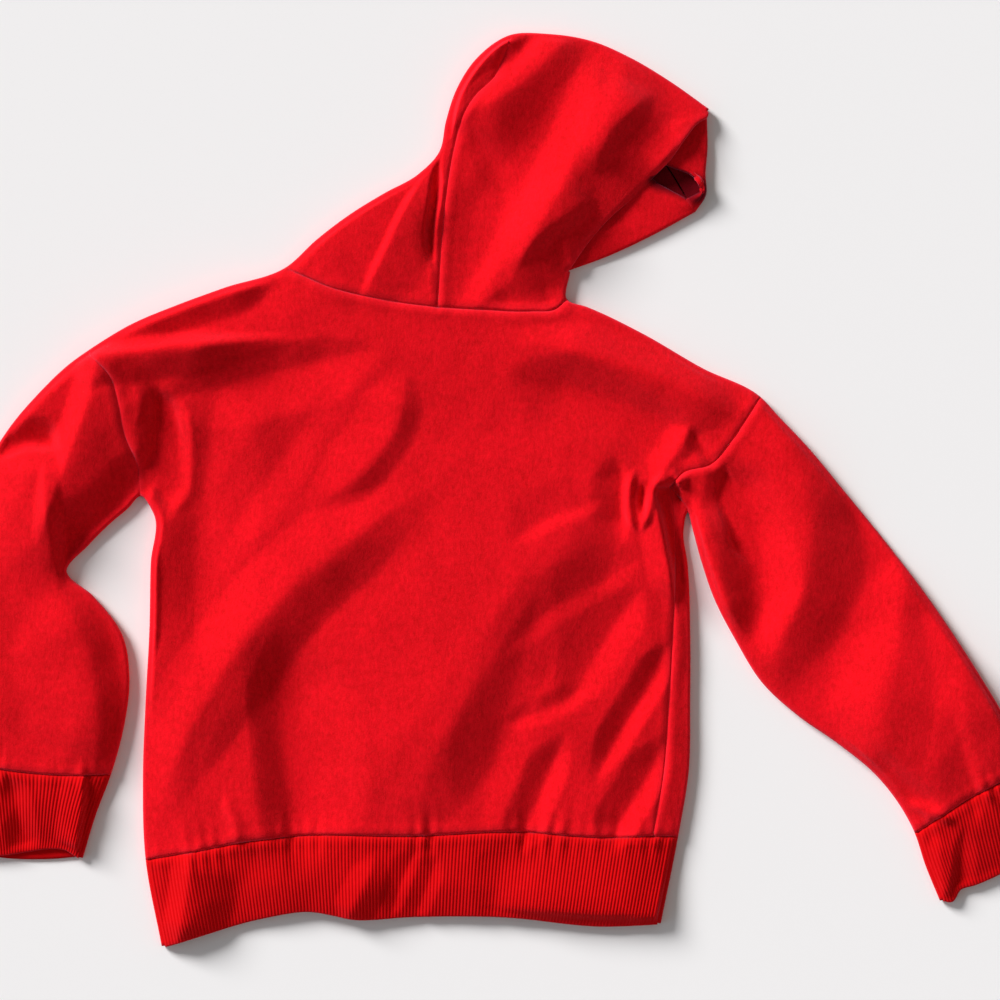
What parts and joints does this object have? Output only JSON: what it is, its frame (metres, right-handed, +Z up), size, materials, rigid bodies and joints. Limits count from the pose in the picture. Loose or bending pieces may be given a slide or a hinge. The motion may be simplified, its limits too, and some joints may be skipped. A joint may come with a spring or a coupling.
{
  "type": "child's pullover hoodie",
  "caption": "Child's pullover hoodie in red fleece, laid flat with its back upwards, its hood turned to one side, and ribbed cuffs and waistband.",
  "frame": {"origin": "centre of the bounding box, on the surface that the garment lies on", "axes": "+X to the right from sleeve to sleeve, +Y from the waistband towards the hood, +Z up out of the surface"},
  "size_m": [0.8377, 0.6839, 0.0194],
  "materials": {
    "fleece": "brushed",
    "ribbing": "ribbed knit"
  },
  "bodies": {
    "root": {"back_panel": "fleece", "front_panel": "fleece", "waistband": "ribbing", "sleeve_left": "fleece", "sleeve_right": "fleece", "cuff_left": "ribbing", "cuff_right": "ribbing", "hood_left": "fleece", "hood_right": "fleece"}
  },
  "joints": []
}
